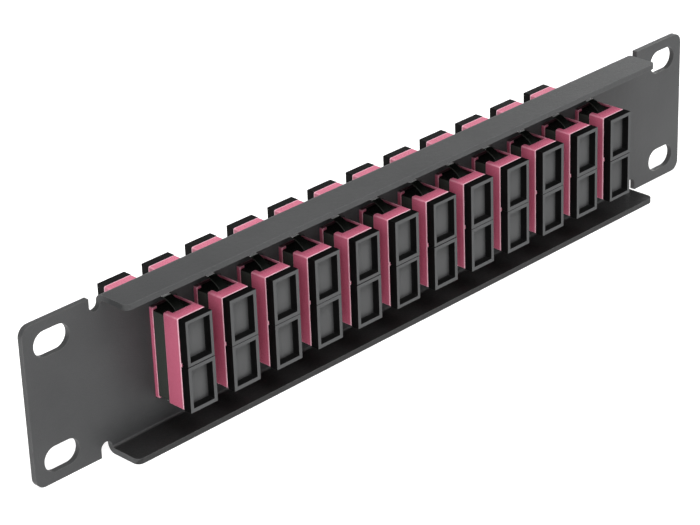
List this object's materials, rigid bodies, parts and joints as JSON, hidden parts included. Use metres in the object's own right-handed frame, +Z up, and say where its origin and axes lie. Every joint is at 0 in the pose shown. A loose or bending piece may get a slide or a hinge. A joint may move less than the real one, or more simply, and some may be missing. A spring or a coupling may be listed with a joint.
{
  "type": "fibre patch panel",
  "caption": "Ten-inch, one-unit rack panel of folded steel sheet, with a row of twin fibre adapters held by spring clips and closed by pull-off dust caps.",
  "frame": {"origin": "centre of the four rack slots, on the rear face of the sheet, which seats on the rack's rails", "axes": "+X along the panel, +Y from the rear, where the flanges are, to the front, +Z up"},
  "size_m": [0.254, 0.0331, 0.0444],
  "materials": {
    "coated_sheet": "fine-grained matt powder coat",
    "coupler_plastic": "satin moulded",
    "spring_steel": "blackened, oiled",
    "cap_plastic": "satin moulded",
    "latch_plastic": "natural moulded",
    "sleeve_ceramic": "polished"
  },
  "bodies": {
    "panel_body": {"panel": "coated_sheet", "rear_housings": "coupler_plastic", "front_housings": "coupler_plastic", "spring_clips": "spring_steel", "rear_latch_holders": "latch_plastic", "front_latch_holders": "latch_plastic", "alignment_sleeves": "sleeve_ceramic"},
    "rear_cap_01_upper": {"rear_cap_01_upper": "cap_plastic"},
    "rear_cap_01_lower": {"rear_cap_01_lower": "cap_plastic"},
    "front_cap_01_upper": {"front_cap_01_upper": "cap_plastic"},
    "front_cap_01_lower": {"front_cap_01_lower": "cap_plastic"},
    "rear_cap_02_upper": {"rear_cap_02_upper": "cap_plastic"},
    "rear_cap_02_lower": {"rear_cap_02_lower": "cap_plastic"},
    "front_cap_02_upper": {"front_cap_02_upper": "cap_plastic"},
    "front_cap_02_lower": {"front_cap_02_lower": "cap_plastic"},
    "rear_cap_03_upper": {"rear_cap_03_upper": "cap_plastic"},
    "rear_cap_03_lower": {"rear_cap_03_lower": "cap_plastic"},
    "front_cap_03_upper": {"front_cap_03_upper": "cap_plastic"},
    "front_cap_03_lower": {"front_cap_03_lower": "cap_plastic"},
    "rear_cap_04_upper": {"rear_cap_04_upper": "cap_plastic"},
    "rear_cap_04_lower": {"rear_cap_04_lower": "cap_plastic"},
    "front_cap_04_upper": {"front_cap_04_upper": "cap_plastic"},
    "front_cap_04_lower": {"front_cap_04_lower": "cap_plastic"},
    "rear_cap_05_upper": {"rear_cap_05_upper": "cap_plastic"},
    "rear_cap_05_lower": {"rear_cap_05_lower": "cap_plastic"},
    "front_cap_05_upper": {"front_cap_05_upper": "cap_plastic"},
    "front_cap_05_lower": {"front_cap_05_lower": "cap_plastic"},
    "rear_cap_06_upper": {"rear_cap_06_upper": "cap_plastic"},
    "rear_cap_06_lower": {"rear_cap_06_lower": "cap_plastic"},
    "front_cap_06_upper": {"front_cap_06_upper": "cap_plastic"},
    "front_cap_06_lower": {"front_cap_06_lower": "cap_plastic"},
    "rear_cap_07_upper": {"rear_cap_07_upper": "cap_plastic"},
    "rear_cap_07_lower": {"rear_cap_07_lower": "cap_plastic"},
    "front_cap_07_upper": {"front_cap_07_upper": "cap_plastic"},
    "front_cap_07_lower": {"front_cap_07_lower": "cap_plastic"},
    "rear_cap_08_upper": {"rear_cap_08_upper": "cap_plastic"},
    "rear_cap_08_lower": {"rear_cap_08_lower": "cap_plastic"},
    "front_cap_08_upper": {"front_cap_08_upper": "cap_plastic"},
    "front_cap_08_lower": {"front_cap_08_lower": "cap_plastic"},
    "rear_cap_09_upper": {"rear_cap_09_upper": "cap_plastic"},
    "rear_cap_09_lower": {"rear_cap_09_lower": "cap_plastic"},
    "front_cap_09_upper": {"front_cap_09_upper": "cap_plastic"},
    "front_cap_09_lower": {"front_cap_09_lower": "cap_plastic"},
    "rear_cap_10_upper": {"rear_cap_10_upper": "cap_plastic"},
    "rear_cap_10_lower": {"rear_cap_10_lower": "cap_plastic"},
    "front_cap_10_upper": {"front_cap_10_upper": "cap_plastic"},
    "front_cap_10_lower": {"front_cap_10_lower": "cap_plastic"},
    "rear_cap_11_upper": {"rear_cap_11_upper": "cap_plastic"},
    "rear_cap_11_lower": {"rear_cap_11_lower": "cap_plastic"},
    "front_cap_11_upper": {"front_cap_11_upper": "cap_plastic"},
    "front_cap_11_lower": {"front_cap_11_lower": "cap_plastic"},
    "rear_cap_12_upper": {"rear_cap_12_upper": "cap_plastic"},
    "rear_cap_12_lower": {"rear_cap_12_lower": "cap_plastic"},
    "front_cap_12_upper": {"front_cap_12_upper": "cap_plastic"},
    "front_cap_12_lower": {"front_cap_12_lower": "cap_plastic"}
  },
  "joints": [
    {"name": "rear_cap_01_upper_pull", "type": "slide", "parent": "panel_body", "child": "rear_cap_01_upper", "axis": [0, -1, 0], "range_m": [0, 0.006]},
    {"name": "rear_cap_01_lower_pull", "type": "slide", "parent": "panel_body", "child": "rear_cap_01_lower", "axis": [0, -1, 0], "range_m": [0, 0.006]},
    {"name": "front_cap_01_upper_pull", "type": "slide", "parent": "panel_body", "child": "front_cap_01_upper", "axis": [0, 1, 0], "range_m": [0, 0.006]},
    {"name": "front_cap_01_lower_pull", "type": "slide", "parent": "panel_body", "child": "front_cap_01_lower", "axis": [0, 1, 0], "range_m": [0, 0.006]},
    {"name": "rear_cap_02_upper_pull", "type": "slide", "parent": "panel_body", "child": "rear_cap_02_upper", "axis": [0, -1, 0], "range_m": [0, 0.006]},
    {"name": "rear_cap_02_lower_pull", "type": "slide", "parent": "panel_body", "child": "rear_cap_02_lower", "axis": [0, -1, 0], "range_m": [0, 0.006]},
    {"name": "front_cap_02_upper_pull", "type": "slide", "parent": "panel_body", "child": "front_cap_02_upper", "axis": [0, 1, 0], "range_m": [0, 0.006]},
    {"name": "front_cap_02_lower_pull", "type": "slide", "parent": "panel_body", "child": "front_cap_02_lower", "axis": [0, 1, 0], "range_m": [0, 0.006]},
    {"name": "rear_cap_03_upper_pull", "type": "slide", "parent": "panel_body", "child": "rear_cap_03_upper", "axis": [0, -1, 0], "range_m": [0, 0.006]},
    {"name": "rear_cap_03_lower_pull", "type": "slide", "parent": "panel_body", "child": "rear_cap_03_lower", "axis": [0, -1, 0], "range_m": [0, 0.006]},
    {"name": "front_cap_03_upper_pull", "type": "slide", "parent": "panel_body", "child": "front_cap_03_upper", "axis": [0, 1, 0], "range_m": [0, 0.006]},
    {"name": "front_cap_03_lower_pull", "type": "slide", "parent": "panel_body", "child": "front_cap_03_lower", "axis": [0, 1, 0], "range_m": [0, 0.006]},
    {"name": "rear_cap_04_upper_pull", "type": "slide", "parent": "panel_body", "child": "rear_cap_04_upper", "axis": [0, -1, 0], "range_m": [0, 0.006]},
    {"name": "rear_cap_04_lower_pull", "type": "slide", "parent": "panel_body", "child": "rear_cap_04_lower", "axis": [0, -1, 0], "range_m": [0, 0.006]},
    {"name": "front_cap_04_upper_pull", "type": "slide", "parent": "panel_body", "child": "front_cap_04_upper", "axis": [0, 1, 0], "range_m": [0, 0.006]},
    {"name": "front_cap_04_lower_pull", "type": "slide", "parent": "panel_body", "child": "front_cap_04_lower", "axis": [0, 1, 0], "range_m": [0, 0.006]},
    {"name": "rear_cap_05_upper_pull", "type": "slide", "parent": "panel_body", "child": "rear_cap_05_upper", "axis": [0, -1, 0], "range_m": [0, 0.006]},
    {"name": "rear_cap_05_lower_pull", "type": "slide", "parent": "panel_body", "child": "rear_cap_05_lower", "axis": [0, -1, 0], "range_m": [0, 0.006]},
    {"name": "front_cap_05_upper_pull", "type": "slide", "parent": "panel_body", "child": "front_cap_05_upper", "axis": [0, 1, 0], "range_m": [0, 0.006]},
    {"name": "front_cap_05_lower_pull", "type": "slide", "parent": "panel_body", "child": "front_cap_05_lower", "axis": [0, 1, 0], "range_m": [0, 0.006]},
    {"name": "rear_cap_06_upper_pull", "type": "slide", "parent": "panel_body", "child": "rear_cap_06_upper", "axis": [0, -1, 0], "range_m": [0, 0.006]},
    {"name": "rear_cap_06_lower_pull", "type": "slide", "parent": "panel_body", "child": "rear_cap_06_lower", "axis": [0, -1, 0], "range_m": [0, 0.006]},
    {"name": "front_cap_06_upper_pull", "type": "slide", "parent": "panel_body", "child": "front_cap_06_upper", "axis": [0, 1, 0], "range_m": [0, 0.006]},
    {"name": "front_cap_06_lower_pull", "type": "slide", "parent": "panel_body", "child": "front_cap_06_lower", "axis": [0, 1, 0], "range_m": [0, 0.006]},
    {"name": "rear_cap_07_upper_pull", "type": "slide", "parent": "panel_body", "child": "rear_cap_07_upper", "axis": [0, -1, 0], "range_m": [0, 0.006]},
    {"name": "rear_cap_07_lower_pull", "type": "slide", "parent": "panel_body", "child": "rear_cap_07_lower", "axis": [0, -1, 0], "range_m": [0, 0.006]},
    {"name": "front_cap_07_upper_pull", "type": "slide", "parent": "panel_body", "child": "front_cap_07_upper", "axis": [0, 1, 0], "range_m": [0, 0.006]},
    {"name": "front_cap_07_lower_pull", "type": "slide", "parent": "panel_body", "child": "front_cap_07_lower", "axis": [0, 1, 0], "range_m": [0, 0.006]},
    {"name": "rear_cap_08_upper_pull", "type": "slide", "parent": "panel_body", "child": "rear_cap_08_upper", "axis": [0, -1, 0], "range_m": [0, 0.006]},
    {"name": "rear_cap_08_lower_pull", "type": "slide", "parent": "panel_body", "child": "rear_cap_08_lower", "axis": [0, -1, 0], "range_m": [0, 0.006]},
    {"name": "front_cap_08_upper_pull", "type": "slide", "parent": "panel_body", "child": "front_cap_08_upper", "axis": [0, 1, 0], "range_m": [0, 0.006]},
    {"name": "front_cap_08_lower_pull", "type": "slide", "parent": "panel_body", "child": "front_cap_08_lower", "axis": [0, 1, 0], "range_m": [0, 0.006]},
    {"name": "rear_cap_09_upper_pull", "type": "slide", "parent": "panel_body", "child": "rear_cap_09_upper", "axis": [0, -1, 0], "range_m": [0, 0.006]},
    {"name": "rear_cap_09_lower_pull", "type": "slide", "parent": "panel_body", "child": "rear_cap_09_lower", "axis": [0, -1, 0], "range_m": [0, 0.006]},
    {"name": "front_cap_09_upper_pull", "type": "slide", "parent": "panel_body", "child": "front_cap_09_upper", "axis": [0, 1, 0], "range_m": [0, 0.006]},
    {"name": "front_cap_09_lower_pull", "type": "slide", "parent": "panel_body", "child": "front_cap_09_lower", "axis": [0, 1, 0], "range_m": [0, 0.006]},
    {"name": "rear_cap_10_upper_pull", "type": "slide", "parent": "panel_body", "child": "rear_cap_10_upper", "axis": [0, -1, 0], "range_m": [0, 0.006]},
    {"name": "rear_cap_10_lower_pull", "type": "slide", "parent": "panel_body", "child": "rear_cap_10_lower", "axis": [0, -1, 0], "range_m": [0, 0.006]},
    {"name": "front_cap_10_upper_pull", "type": "slide", "parent": "panel_body", "child": "front_cap_10_upper", "axis": [0, 1, 0], "range_m": [0, 0.006]},
    {"name": "front_cap_10_lower_pull", "type": "slide", "parent": "panel_body", "child": "front_cap_10_lower", "axis": [0, 1, 0], "range_m": [0, 0.006]},
    {"name": "rear_cap_11_upper_pull", "type": "slide", "parent": "panel_body", "child": "rear_cap_11_upper", "axis": [0, -1, 0], "range_m": [0, 0.006]},
    {"name": "rear_cap_11_lower_pull", "type": "slide", "parent": "panel_body", "child": "rear_cap_11_lower", "axis": [0, -1, 0], "range_m": [0, 0.006]},
    {"name": "front_cap_11_upper_pull", "type": "slide", "parent": "panel_body", "child": "front_cap_11_upper", "axis": [0, 1, 0], "range_m": [0, 0.006]},
    {"name": "front_cap_11_lower_pull", "type": "slide", "parent": "panel_body", "child": "front_cap_11_lower", "axis": [0, 1, 0], "range_m": [0, 0.006]},
    {"name": "rear_cap_12_upper_pull", "type": "slide", "parent": "panel_body", "child": "rear_cap_12_upper", "axis": [0, -1, 0], "range_m": [0, 0.006]},
    {"name": "rear_cap_12_lower_pull", "type": "slide", "parent": "panel_body", "child": "rear_cap_12_lower", "axis": [0, -1, 0], "range_m": [0, 0.006]},
    {"name": "front_cap_12_upper_pull", "type": "slide", "parent": "panel_body", "child": "front_cap_12_upper", "axis": [0, 1, 0], "range_m": [0, 0.006]},
    {"name": "front_cap_12_lower_pull", "type": "slide", "parent": "panel_body", "child": "front_cap_12_lower", "axis": [0, 1, 0], "range_m": [0, 0.006]}
  ]
}
